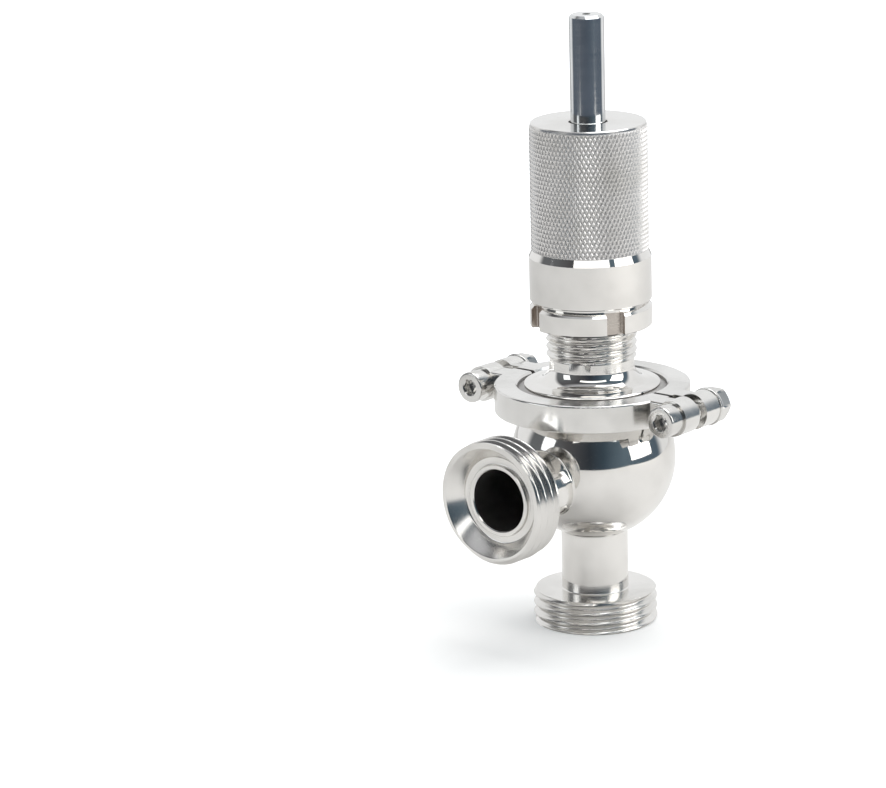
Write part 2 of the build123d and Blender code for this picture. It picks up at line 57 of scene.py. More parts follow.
class NodeTree:
    """Adds and links nodes in one shader tree."""

    def __init__(self, tree: bpy.types.NodeTree) -> None:
        """Take the tree that the nodes go into."""
        self.tree = tree

    def add(self, kind: str, values: dict | None = None, **settings) -> bpy.types.Node:
        """Add a node.

        Args:
            kind: The node's type name.
            values: Input name or index to a socket that feeds it or a constant.
            settings: Attributes to set on the node itself.

        Returns:
            The new node.
        """
        node = self.tree.nodes.new(kind)
        for name, value in settings.items():
            setattr(node, name, value)
        for name, value in (values or {}).items():
            if isinstance(value, bpy.types.NodeSocket):
                self.tree.links.new(value, node.inputs[name])
            else:
                node.inputs[name].default_value = value
        return node

    def math(
        self, operation: str, first: Value, second: Value = 0.0, third: Value = 0.0
    ) -> bpy.types.NodeSocket:
        """Work out one value.

        Args:
            operation: The math node's operation.
            first: First socket or number.
            second: Second socket or number.
            third: Third socket or number.

        Returns:
            The value's socket.
        """
        node = self.add("ShaderNodeMath", {0: first, 1: second, 2: third}, operation=operation)
        return node.outputs[0]

    def noise(
        self, vector: Value, scale: Value, detail: float = 2.0, roughness: float = 0.5
    ) -> bpy.types.NodeSocket:
        """Noise value over a position.

        Args:
            vector: Position socket.
            scale: Cells per metre.
            detail: Octaves.
            roughness: Weight of the finer octaves.

        Returns:
            The noise value's socket.
        """
        node = self.add(
            "ShaderNodeTexNoise",
            {"Vector": vector, "Scale": scale, "Detail": detail, "Roughness": roughness},
        )
        return node.outputs["Fac"]

    def remap(
        self, value: Value, low: float, high: float, to_low: float, to_high: float
    ) -> bpy.types.NodeSocket:
        """Map a value from one range to another, smoothly and held at the ends.

        Args:
            value: Socket to map.
            low: Lowest value that counts.
            high: Highest value that counts.
            to_low: Result at low.
            to_high: Result at high.

        Returns:
            The mapped value's socket.
        """
        node = self.add(
            "ShaderNodeMapRange",
            {0: value, 1: low, 2: high, 3: to_low, 4: to_high},
            interpolation_type="SMOOTHSTEP",
        )
        return node.outputs[0]

    def ramp(self, value: Value, stops: Sequence[tuple[float, tuple]]) -> bpy.types.NodeSocket:
        """Look a colour up along a row of colour stops.

        Args:
            value: Socket with the place along the row, 0 to 1.
            stops: (place, colour) of each stop.

        Returns:
            The colour's socket.
        """
        node = self.add("ShaderNodeValToRGB", {"Fac": value})
        elements = node.color_ramp.elements
        while len(elements) < len(stops):
            elements.new(0.5)
        for element, (place, color) in zip(elements, stops):
            element.position = place
            element.color = (*color, 1.0)
        return node.outputs[0]

    def mix_color(self, factor: Value, first: Paint, second: Paint) -> bpy.types.NodeSocket:
        """Blend two colours.

        Args:
            factor: Share of the second colour.
            first: First colour or socket.
            second: Second colour or socket.

        Returns:
            The blended colour's socket.
        """
        node = self.add("ShaderNodeMix", data_type="RGBA")
        for index, value in ((0, factor), (6, first), (7, second)):
            if isinstance(value, bpy.types.NodeSocket):
                self.tree.links.new(value, node.inputs[index])
            else:
                node.inputs[index].default_value = value
        return node.outputs[2]


class EffectGroup:
    """A shader node group with named inputs and outputs, built once."""

    name = ""
    inputs: tuple[tuple[str, str, float], ...] = ()
    outputs: tuple[str, ...] = ()

    def tree(self) -> bpy.types.NodeTree:
        """Give the group's tree, and make it the first time.

        Returns:
            The node group.
        """
        found = bpy.data.node_groups.get(self.name)
        if found:
            return found
        group = bpy.data.node_groups.new(self.name, "ShaderNodeTree")
        for label, kind, value in self.inputs:
            socket = group.interface.new_socket(label, in_out="INPUT", socket_type=kind)
            if kind == "NodeSocketFloat":
                socket.default_value = value
        for label in self.outputs:
            group.interface.new_socket(label, in_out="OUTPUT", socket_type="NodeSocketFloat")
        kit = NodeTree(group)
        source = group.nodes.new("NodeGroupInput")
        target = group.nodes.new("NodeGroupOutput")
        for label, socket in self.fill(kit, source).items():
            group.links.new(socket, target.inputs[label])
        return group

    def fill(self, kit: NodeTree, source: bpy.types.Node) -> dict:
        """Build the group's inside; each effect has its own.

        Args:
            kit: Tools for the group's tree.
            source: The group's input node.

        Returns:
            Output name to socket.
        """
        raise NotImplementedError

    def place(self, kit: NodeTree, values: dict) -> bpy.types.Node:
        """Put the group into a material's tree.

        Args:
            kit: Tools for the material's tree.
            values: Input name to socket or number.

        Returns:
            The group node.
        """
        return kit.add("ShaderNodeGroup", values, node_tree=self.tree())


class PolishHaze(EffectGroup):
    """Uneven polish: hazy patches and hair-fine buffing scratches."""

    name = "polish_haze"
    inputs = (
        ("Position", "NodeSocketVector", 0.0),
        ("Patch Scale", "NodeSocketFloat", 40.0),
        ("Scratch Scale", "NodeSocketFloat", 900.0),
    )
    outputs = ("Haze", "Scratches", "Height")

    def fill(self, kit: NodeTree, source: bpy.types.Node) -> dict:
        """Build patches and scratches.

        Args:
            kit: Tools for the group's tree.
            source: The group's input node.

        Returns:
            Output name to socket.
        """
        position = source.outputs["Position"]
        patch = kit.noise(position, source.outputs["Patch Scale"], 3.0, 0.55)
        haze = kit.remap(patch, 0.35, 0.75, 0.0, 1.0)
        lines = None
        for turn in (0.35, 1.45, 2.5):
            aimed = kit.add(
                "ShaderNodeMapping",
                {"Vector": position, "Rotation": (turn, turn * 0.7, turn), "Scale": (1.0, 14.0, 14.0)},
            )
            strand = kit.noise(aimed.outputs[0], source.outputs["Scratch Scale"], 1.0)
            line = kit.remap(strand, 0.66, 0.74, 0.0, 1.0)
            lines = line if lines is None else kit.math("MAXIMUM", lines, line)
        height = kit.math("MULTIPLY", lines, -1.0)
        return {"Haze": haze, "Scratches": lines, "Height": height}


class TurningMarks(EffectGroup):
    """Rings that a lathe tool leaves round the local Z axis."""

    name = "turning_marks"
    inputs = (("Position", "NodeSocketVector", 0.0), ("Rings", "NodeSocketFloat", 3000.0))
    outputs = ("Height", "Mask")

    def fill(self, kit: NodeTree, source: bpy.types.Node) -> dict:
        """Build rings from the distance to the axis and the place along it.

        Args:
            kit: Tools for the group's tree.
            source: The group's input node.

        Returns:
            Output name to socket.
        """
        parts = kit.add("ShaderNodeSeparateXYZ", {0: source.outputs["Position"]})
        square_x = kit.math("MULTIPLY", parts.outputs[0], parts.outputs[0])
        reach = kit.math("MULTIPLY_ADD", parts.outputs[1], parts.outputs[1], square_x)
        radius = kit.math("SQRT", reach)
        place = kit.add("ShaderNodeCombineXYZ", {0: radius, 1: parts.outputs[2]})
        fine = kit.noise(place.outputs[0], source.outputs["Rings"], 2.0, 0.6)
        mask = kit.remap(fine, 0.3, 0.7, 0.0, 1.0)
        return {"Height": fine, "Mask": mask}


class CastSkin(EffectGroup):
    """Gently uneven skin of a tumbled casting, with small pits."""

    name = "cast_skin"
    inputs = (
        ("Position", "NodeSocketVector", 0.0),
        ("Swell Scale", "NodeSocketFloat", 90.0),
        ("Pit Scale", "NodeSocketFloat", 700.0),
    )
    outputs = ("Height", "Pits")

    def fill(self, kit: NodeTree, source: bpy.types.Node) -> dict:
        """Build swells and pits.

        Args:
            kit: Tools for the group's tree.
            source: The group's input node.

        Returns:
            Output name to socket.
        """
        position = source.outputs["Position"]
        swell = kit.noise(position, source.outputs["Swell Scale"], 1.5, 0.4)
        cells = kit.add(
            "ShaderNodeTexVoronoi", {"Vector": position, "Scale": source.outputs["Pit Scale"]}
        )
        few = kit.noise(position, source.outputs["Swell Scale"], 4.0, 0.7)
        pit = kit.remap(cells.outputs["Distance"], 0.12, 0.26, 1.0, 0.0)
        rare = kit.remap(few, 0.55, 0.68, 0.0, 1.0)
        pits = kit.math("MULTIPLY", pit, rare)
        height = kit.math("MULTIPLY_ADD", pits, -0.08, swell)
        return {"Height": height, "Pits": pits}


# ---------------------------------------------------------------- finishes


class Axis(Enum):
    """Axis that a piece was turned on."""

    VALVE = "valve"
    OUTLET = "outlet"


@dataclass(frozen=True)
class Finish:
    """A named finish with its plain colour, its second colour and its roughness."""

    name: str
    color: Triple
    shade: Triple
    roughness: float

    def material(self) -> bpy.types.Material:
        """Give this finish's material, and make it the first time.

        Returns:
            The material.
        """
        found = bpy.data.materials.get(self.name)
        if found:
            return found
        made = bpy.data.materials.new(self.name)
        made.use_nodes = True
        made.node_tree.nodes.clear()
        kit = NodeTree(made.node_tree)
        values = self.surface(kit, kit.add("ShaderNodeTexCoord").outputs["Object"])
        height = values.pop("Height")
        bump = kit.add("ShaderNodeBump", {"Height": height, "Distance": 1.0, "Strength": 1.0})
        values["Normal"] = bump.outputs["Normal"]
        shader = kit.add("ShaderNodeBsdfPrincipled", values)
        kit.add("ShaderNodeOutputMaterial", {"Surface": shader.outputs[0]})
        return made

    def surface(self, kit: NodeTree, position: bpy.types.NodeSocket) -> dict:
        """Work out the shader's values: each kind of finish has its own."""
        raise NotImplementedError

    def tones(self, kit: NodeTree, share: Value) -> bpy.types.NodeSocket:
        """Blend the plain colour towards the second one."""
        return kit.mix_color(share, (*self.color, 1.0), (*self.shade, 1.0))


@dataclass(frozen=True)
class SteelFinish(Finish):
    """A metal finish with haze, scratches and turning rings."""

    haze: float
    ring_height: float
    scratch_height: float
    rings: float = 3000.0
    axis: Axis = Axis.VALVE
    swell_height: float = 0.0

    def surface(self, kit: NodeTree, position: bpy.types.NodeSocket) -> dict:
        """Work out the metal's values.

        Args:
            kit: Tools for the material's tree.
            position: Place on the piece.

        Returns:
            Shader input name to value, and the bump's Height.
        """
        turned = position
        if self.axis is Axis.OUTLET:
            turned = kit.add(
                "ShaderNodeMapping",
                {
                    "Vector": position,
                    "Location": (0.066, 0.0, 0.0),
                    "Rotation": (0.0, -math.pi / 2, 0.0),
                },
            ).outputs[0]
        polish = PolishHaze().place(kit, {"Position": position})
        marks = TurningMarks().place(kit, {"Position": turned, "Rings": self.rings})
        tint = kit.math("MULTIPLY_ADD", polish.outputs["Scratches"], 0.4, polish.outputs["Haze"])
        rough = kit.math("MULTIPLY_ADD", polish.outputs["Haze"], self.haze, self.roughness)
        rough = kit.math("MULTIPLY_ADD", polish.outputs["Scratches"], self.haze, rough)
        rough = kit.math("MULTIPLY_ADD", marks.outputs["Mask"], self.haze, rough)
        rings = kit.math("MULTIPLY", marks.outputs["Height"], self.ring_height)
        height = kit.math("MULTIPLY_ADD", polish.outputs["Height"], self.scratch_height, rings)
        if self.swell_height:
            skin = CastSkin().place(kit, {"Position": position})
            height = kit.math("MULTIPLY_ADD", skin.outputs["Height"], self.swell_height, height)
        base = self.tones(kit, tint)
        return {"Base Color": base, "Roughness": rough, "Metallic": 1.0, "Height": height}


@dataclass(frozen=True)
class SoftFinish(Finish):
    """A rubber or plastic finish with a fine moulded grain."""

    grain_height: float

    def surface(self, kit: NodeTree, position: bpy.types.NodeSocket) -> dict:
        """Work out the soft material's values.

        Args:
            kit: Tools for the material's tree.
            position: Place on the piece.

        Returns:
            Shader input name to value, and the bump's Height.
        """
        skin = CastSkin().place(kit, {"Position": position, "Swell Scale": 600.0, "Pit Scale": 2500.0})
        base = self.tones(kit, skin.outputs["Height"])
        rough = kit.math("MULTIPLY_ADD", skin.outputs["Pits"], 0.2, self.roughness)
        height = kit.math("MULTIPLY", skin.outputs["Height"], self.grain_height)
        return {"Base Color": base, "Roughness": rough, "Height": height}


STEEL = (0.81, 0.795, 0.77)
STEEL_SHADE = (0.70, 0.685, 0.66)

MIRROR = SteelFinish("mirror_stainless", STEEL, STEEL_SHADE, 0.035, 0.02, 2e-7, 4e-7)
TURNED = SteelFinish("lathe_steel", (0.78, 0.77, 0.75), STEEL_SHADE, 0.12, 0.05, 1.2e-6, 5e-7, 2200.0)
SATIN = SteelFinish("satin_stainless", (0.80, 0.785, 0.775), STEEL_SHADE, 0.40, 0.05, 6e-7, 4e-7, 4000.0)
THREADED = SteelFinish("threaded_stainless", STEEL, STEEL_SHADE, 0.17, 0.05, 6e-7, 4e-7, 2600.0)
THREADED_OUTLET = SteelFinish(
    "threaded_stainless_outlet", STEEL, STEEL_SHADE, 0.17, 0.05, 6e-7, 4e-7, 2600.0, Axis.OUTLET
)
TUBE = SteelFinish("tube_stainless", STEEL, STEEL_SHADE, 0.085, 0.03, 4e-7, 4e-7)
TUBE_OUTLET = SteelFinish(
    "tube_stainless_outlet", STEEL, STEEL_SHADE, 0.085, 0.03, 4e-7, 4e-7, axis=Axis.OUTLET
)
GROUND = SteelFinish(
    "ground_stem", (0.80, 0.80, 0.79), (0.62, 0.64, 0.65), 0.055, 0.035, 5e-7, 4e-7, 900.0
)
# Lock ring slot and bore walls: rougher milled steel, with its colour painted darker brown as painted
# shade.
MILLED_SLOT_SHADE = SteelFinish("milled_slot_painted_shade", (0.60, 0.55, 0.50), (0.48, 0.43, 0.39), 0.24, 0.06, 1e-6, 8e-7, 2400.0)
# Deep inner faces: the same steel painted much darker, as painted shade in bores and recesses.
INSIDE_SHADE = SteelFinish("inner_walls_painted_shade", (0.42, 0.41, 0.40), (0.34, 0.33, 0.32), 0.34, 0.08, 1e-6, 8e-7, 1800.0)
CAST = SteelFinish(
    "clamp_casting", (0.78, 0.77, 0.75), (0.66, 0.65, 0.63), 0.14, 0.05, 0.0, 6e-7, swell_height=1.6e-4
)
FASTENER = SteelFinish("bolt_steel", (0.74, 0.73, 0.71), (0.6, 0.59, 0.57), 0.11, 0.05, 4e-7, 8e-7)
WIRE = SteelFinish("spring_wire", (0.62, 0.61, 0.6), (0.5, 0.49, 0.48), 0.25, 0.06, 4e-7, 8e-7)
BRONZE = SteelFinish("washer_bronze", (0.72, 0.48, 0.26), (0.55, 0.36, 0.2), 0.25, 0.06, 1e-6, 6e-7)
RUBBER = SoftFinish("sealing_rubber", (0.02, 0.02, 0.022), (0.04, 0.04, 0.042), 0.55, 2e-5)
PLASTIC = SoftFinish("bearing_plastic", (0.84, 0.83, 0.79), (0.78, 0.77, 0.73), 0.4, 1e-5)


# ---------------------------------------------------------------- turned meshes


@dataclass(frozen=True)
class Spindle:
    """Where a turned piece stands: a start point and its axis."""

    origin: Triple
    axis: Triple
    side: Triple

    def place(self, radius: float, depth: float, angle: float) -> Vector:
        """Turn radius, depth and angle into a point.

        Args:
            radius: Distance from the axis, in mm.
            depth: Distance along the axis, in mm.
            angle: Angle round the axis, in radians.

        Returns:
            The point in metres.
        """
        axis = Vector(self.axis)
        side = Vector(self.side)
        across = axis.cross(side)
        spoke = side * math.cos(angle) + across * math.sin(angle)
        return (Vector(self.origin) + axis * depth + spoke * radius) * MM


JOINT = 96.988
VALVE_SPINDLE = Spindle((0.0, 0.0, 0.0), (0.0, 0.0, 1.0), (1.0, 0.0, 0.0))
JOINT_SPINDLE = Spindle((0.0, 0.0, JOINT), (0.0, 0.0, 1.0), (1.0, 0.0, 0.0))


def finish_mesh(name: str, points: list, faces: list, crease: float = 32.0) -> bpy.types.Object:
    """Make an object from points and faces, smooth but for its creases.

    Args:
        name: The object's name.
        points: Vertices in metres.
        faces: Vertex indices of each face.
        crease: Angle between faces that stays sharp, in degrees.

    Returns:
        The new object.
    """
    mesh = bpy.data.meshes.new(name)
    mesh.from_pydata(points, [], faces)
    mesh.validate()
    mesh.polygons.foreach_set("use_smooth", [True] * len(mesh.polygons))
    mesh.set_sharp_from_angle(angle=math.radians(crease))
    piece = bpy.data.objects.new(name, mesh)
    bpy.context.scene.collection.objects.link(piece)
    return piece


def plain_radius(radius: float, depth: float, angle: float) -> float:
    """Keep the radius as it is."""
    return radius


def turned_mesh(
    profile: Sequence[Point],
    spindle: Spindle,
    columns: int,
    rule: RadiusRule = plain_radius,
    closed: bool = True,
) -> tuple[list, list]:
    """Points and faces of a profile turned round an axis.

    Args:
        profile: (radius, depth) points in mm.
        spindle: Where the piece stands.
        columns: Steps round the axis.
        rule: Gives the radius at (radius, depth, angle).
        closed: Join the last profile point to the first.

    Returns:
        Vertices in metres and faces.
    """
    points = []
    for column in range(columns):
        angle = math.tau * column / columns
        for radius, depth in profile:
            points.append(spindle.place(rule(radius, depth, angle), depth, angle))
    rows = len(profile)
    faces = []
    last = rows if closed else rows - 1
    for column in range(columns):
        here = column * rows
        there = (column + 1) % columns * rows
        for row in range(last):
            above = (row + 1) % rows
            faces.append((here + row, there + row, there + above, here + above))
    return points, faces


def steps(start: Point, end: Point, count: int) -> list[Point]:
    """Evenly spaced points from start up to, but not with, end.

    Args:
        start: First (radius, depth).
        end: Point that is left out.
        count: Number of steps.

    Returns:
        The points.
    """
    return [
        (start[0] + (end[0] - start[0]) * i / count, start[1] + (end[1] - start[1]) * i / count)
        for i in range(count)
    ]


def arc(center: Point, radius: float, start: float, end: float, count: int) -> list[Point]:
    """Points of an arc in the profile plane, both ends included.

    Args:
        center: (radius, depth) of the arc's centre.
        radius: The arc's radius.
        start: First angle in degrees, from the radius axis towards depth.
        end: Last angle in degrees.
        count: Number of steps.

    Returns:
        The points.
    """
    turns = [math.radians(start + (end - start) * i / count) for i in range(count + 1)]
    return [(center[0] + radius * math.cos(t), center[1] + radius * math.sin(t)) for t in turns]


@dataclass(frozen=True)
class Thread:
    """An outside thread on a turned piece."""

    major: float
    depth: float
    pitch: float
    start: float
    end: float
    rounded: bool = True
    run_out: float = 0.0

    def radius(self, radius: float, depth: float, angle: float) -> float:
        """Radius of the thread's surface, cut back where the blank is smaller.

        Args:
            radius: Radius of the blank.
            depth: Place along the axis.
            angle: Angle round the axis.

        Returns:
            The radius in mm.
        """
        if not self.start <= depth <= self.end or radius < self.major - self.depth - 1.5:
            return radius
        phase = (depth / self.pitch - angle / math.tau) % 1.0
        if self.rounded:
            cut = 0.5 - 0.5 * math.cos(math.tau * phase)
            cut = cut ** 0.85
        else:
            cut = 1.0 - abs(2.0 * phase - 1.0)
            cut = min(1.0, max(0.0, cut * 1.25 - 0.1))
        if self.run_out:
            fade = min(depth - self.start, self.end - depth) / self.run_out
            cut *= min(1.0, max(0.0, fade))
        return min(radius, self.major - self.depth * cut)


# ---------------------------------------------------------------- sub-assemblies


@dataclass
class UnionEnd:
    """Male union collar with its round thread, conical recess and neck."""

    name: str
    node: str
    spindle: Spindle
    finish: SteelFinish
    major: float = 26.0
    length: float = 14.0
    neck: float = 3.5
    blend: float = 0.6
    tube: float = 14.0
    bore: float = 13.0
    recess_mouth: float = 22.8
    recess_floor: float = 18.5
    recess_depth: float = 7.0
    lip: float = 15.0
    lip_height: float = 1.5
    edge: float = 0.35
    pitch: float = 25.4 / 6
    depth: float = 1.9
    columns: int = 256

    def profile(self) -> list[Point]:
        """Outline of the collar's section, from its front face round to the recess.

        Returns:
            (radius, depth) points in mm.
        """
        outer = self.major
        back = self.length
        lip_face = self.recess_depth - self.lip_height
        points = [(self.recess_mouth + self.edge, 0.0)]
        points += [(outer - 0.5, 0.0)]
        points += steps((outer, 0.5), (outer, back - 1.0), 56)
        points += [(outer, back - 1.0), (outer - 0.3, back - 0.3), (outer - 1.0, back)]
        points += [(self.tube + self.blend + 2.0, back)]
        points += arc((self.tube + self.blend, back + self.blend), self.blend, 270, 180, 8)
        points += [(self.tube, back + self.neck), (self.bore, back + self.neck)]
        points += [(self.bore, lip_face + 0.4), (self.bore + 0.4, lip_face)]
        points += [(self.lip - 0.25, lip_face), (self.lip, lip_face + 0.25)]
        points += arc((self.lip + 0.5, self.recess_depth - 0.5), 0.5, 180, 90, 4)
        points += arc((self.recess_floor - 0.8, self.recess_depth - 0.8), 0.8, 90, 20, 5)
        points += [(self.recess_mouth - 0.1, self.edge + 0.1)]
        return points

    def build(self) -> bpy.types.Object:
        """Make the collar, dress it and put it on the valve body.

        Returns:
            The collar's object.
        """
        thread = Thread(self.major, self.depth, self.pitch, 0.0, self.length - 0.3)
        points, faces = turned_mesh(self.profile(), self.spindle, self.columns, thread.radius)
        piece = finish_mesh(self.name, points, faces)
        piece.data.materials.append(self.finish.material())
        # The bore faces get the darker inner finish: painted shade.
        ShadedDeepFaces(self.spindle.origin, self.spindle.axis, self.bore + 0.15).dress(piece)
        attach(piece, "valve_body")
        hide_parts(self.node)
        return piece


@dataclass
class Bonnet:
    """Bonnet with its clamp flange, swept neck, smooth band and long round thread."""

    name: str = "bonnet_threaded"
    face: float = 0.8
    flange: float = 36.0
    hub: float = 28.5
    hub_top: float = 6.3
    hub_edge: float = 0.5
    blend: float = 6.5
    band: float = 17.8
    band_height: float = 13.5
    thread_height: float = 17.2
    major: float = 19.0
    top: float = 87.8
    chamber: float = 15.5
    chamber_floor: float = 11.0
    gland: float = 11.5
    gland_floor: float = -4.0
    stem_hole: float = 7.75
    boss: float = 14.0
    boss_bottom: float = -6.0
    register: float = 26.7
    register_bottom: float = -2.0
    depth: float = 1.45
    pitch: float = 25.4 / 8
    columns: int = 192

    def profile(self) -> list[Point]:
        """Outline of the bonnet's section.

        Returns:
            (radius, height) points in mm.
        """
        slope = math.tan(math.radians(20.0))
        rim = self.face + 1.4
        points = [(self.stem_hole, self.boss_bottom), (self.boss, self.boss_bottom)]
        points += [(self.boss, self.register_bottom), (self.register, self.register_bottom)]
        points += [(self.register, self.face), (self.flange, self.face), (self.flange, rim)]
        points += [(self.hub, rim + (self.flange - self.hub) * slope)]
        edge = self.hub_edge
        points += arc((self.hub - edge, self.hub_top - edge), edge, 0, 85, 5)
        center = (self.band + self.blend, self.band_height)
        foot = (center[0], self.band_height - self.blend)
        points += steps((self.hub - 1.2, self.hub_top + 0.14), foot, 4)
        points += arc(center, self.blend, 270, 180, 24)
        points += [(self.band, self.thread_height - 0.2), (self.band + 0.2, self.thread_height)]
        points += steps((self.major, self.thread_height + 0.2), (self.major, self.top - 1.0), 250)
        points += [(self.major, self.top - 1.0), (self.major - 1.0, self.top)]
        points += [(self.chamber, self.top), (self.chamber, self.chamber_floor)]
        points += [(self.gland, self.chamber_floor), (self.gland, self.gland_floor)]
        points += [(self.stem_hole, self.gland_floor)]
        return points

    def build(self) -> bpy.types.Object:
        """Make the bonnet, dress it and put it on the valve body.

        Returns:
            The bonnet's object.
        """
        thread = Thread(self.major, self.depth, self.pitch, self.thread_height, self.top)
        points, faces = turned_mesh(self.profile(), JOINT_SPINDLE, self.columns, thread.radius)
        piece = finish_mesh(self.name, points, faces)
        self.dress(piece)
        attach(piece, "valve_body")
        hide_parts("bonnet")
        return piece

    def dress(self, piece: bpy.types.Object) -> None:
        """Polish the neck, give the thread its finish, and paint the flange slope and the chamber darker
        as painted shade.

        Args:
            piece: The bonnet.
        """
        for finish in (MIRROR, THREADED, INSIDE_SHADE):
            piece.data.materials.append(finish.material())
        slope = Vector((self.hub + 0.1, self.hub_top - self.hub_edge))
        for face in piece.data.polygons:
            height = face.center.z / MM - JOINT
            radius = math.hypot(face.center.x, face.center.y) / MM
            # Chamber and flange slope faces get the darker inner finish: painted shade.
            if radius < self.chamber + 0.3 or (radius > slope.x and height < slope.y):
                face.material_index = 2
            elif height > self.band_height:
                face.material_index = 1


@dataclass
class AdjustingCap:
    """Adjusting cap: polished skirt and bevel, diamond knurled grip, turned top."""

    name: str = "cap_knurled"
    bottom: float = JOINT + 42.0
    top: float = JOINT + 116.6
    ceiling: float = JOINT + 108.6
    bore: float = 19.05
    hole: float = 8.1
    skirt: float = 25.5
    skirt_top: float = JOINT + 60.3
    bevel_top: float = JOINT + 63.2
    bevel_depth: float = 1.3
    grip: float = 24.5
    edge: float = 1.2
    diamonds: int = 82
    rows: int = 14
    knurl_depth: float = 0.5
    flat: float = 0.28

    def knurl(self, points: list, faces: list) -> tuple[list[int], list[int]]:
        """Add the knurled band: one flat-topped pyramid to each diamond.

        Args:
            points: Vertices, added to.
            faces: Faces, added to.

        Returns:
            Vertex rings at the band's foot and head.
        """
        columns = 2 * self.diamonds
        levels = 2 * self.rows
        foot = self.bevel_top + 0.25
        head = self.top - self.edge - 0.25
        step = (head - foot) / levels
        low = self.grip - self.knurl_depth
        root = {}

        def groove(column: int, level: int) -> int:
            """Find or add the groove point at a lattice place.

            Args:
                column: Place round the cap.
                level: Place up the cap.

            Returns:
                The point's index.
            """
            level = min(max(level, 0), levels)
            key = (column % columns, level)
            if key not in root:
                root[key] = len(points)
                angle = math.tau * column / columns
                points.append(VALVE_SPINDLE.place(low, foot + level * step, angle))
            return root[key]

        for level in range(levels + 1):
            for column in range(columns):
                if (column + level) % 2 == 0:
                    continue
                ring = [
                    groove(column + 1, level),
                    groove(column, level + 1),
                    groove(column - 1, level),
                    groove(column, level - 1),
                ]
                crown = []
                for turn, rise in ((1, 0), (0, 1), (-1, 0), (0, -1)):
                    height = foot + (level + rise * self.flat) * step
                    height = min(max(height, foot + 0.1 * step), head - 0.1 * step)
                    angle = math.tau * (column + turn * self.flat) / columns
                    crown.append(len(points))
                    points.append(VALVE_SPINDLE.place(self.grip, height, angle))
                faces.append(tuple(crown))
                for k in range(4):
                    after = (k + 1) % 4
                    faces.append((ring[k], ring[after], crown[after], crown[k]))
        rings = [[groove(c, level) for c in range(columns)] for level in (0, levels)]
        return rings[0], rings[1]

    def build(self) -> bpy.types.Object:
        """Make the cap, dress it and put it on the cap's body.

        Returns:
            The cap's object.
        """
        columns = 2 * self.diamonds
        low = self.grip - self.knurl_depth
        points: list = []
        faces: list = []
        foot, head = self.knurl(points, faces)

        def ring_at(radius: float, height: float) -> list[int]:
            """Add one ring of vertices.

            Args:
                radius: Ring radius in mm.
                height: Ring height in mm.

            Returns:
                Their indices.
            """
            start = len(points)
            for column in range(columns):
                points.append(VALVE_SPINDLE.place(radius, height, math.tau * column / columns))
            return list(range(start, start + columns))

        lower = [(low, self.bevel_top), (self.skirt - self.bevel_depth, self.bevel_top)]
        lower += [(self.skirt, self.skirt_top), (self.skirt, self.bottom + 0.3)]
        lower += [(self.skirt - 0.3, self.bottom), (self.bore, self.bottom), (self.bore, self.ceiling)]
        upper = [(low, self.top - self.edge), (low, self.top - 0.35)]
        upper += [(low - 0.35, self.top), (self.hole + 0.3, self.top), (self.hole, self.top - 0.3)]
        upper += [(self.hole, self.ceiling)]
        outside = [foot] + [ring_at(*place) for place in lower]
        inside = [head] + [ring_at(*place) for place in upper]
        for chain, flip in ((outside, False), (inside, True)):
            for first, second in zip(chain, chain[1:]):
                self.band(faces, first, second, flip)
        self.band(faces, outside[-1], inside[-1], False)
        piece = finish_mesh(self.name, points, faces, 20.0)
        self.dress(piece, low)
        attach(piece, "cap")
        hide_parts("adjusting_cap")
        return piece

    def band(self, faces: list, first: list[int], second: list[int], flip: bool) -> None:
        """Join two rings with quads.

        Args:
            faces: Faces, added to.
            first: Vertex indices of one ring.
            second: Vertex indices of the other.
            flip: Turn the faces over.
        """
        count = len(first)
        for here in range(count):
            there = (here + 1) % count
            quad = (first[here], second[here], second[there], first[there])
            faces.append(tuple(reversed(quad)) if flip else quad)

    def dress(self, piece: bpy.types.Object, low: float) -> None:
        """Give the skirt, the grip and the top their finishes.

        Args:
            piece: The cap.
            low: Radius of the knurl's grooves; not used.
        """
        for finish in (MIRROR, SATIN, TURNED):
            piece.data.materials.append(finish.material())
        for face in piece.data.polygons:
            height = face.center.z / MM
            if height > self.bevel_top + 0.01:
                face.material_index = 2 if height > self.top - self.edge else 1


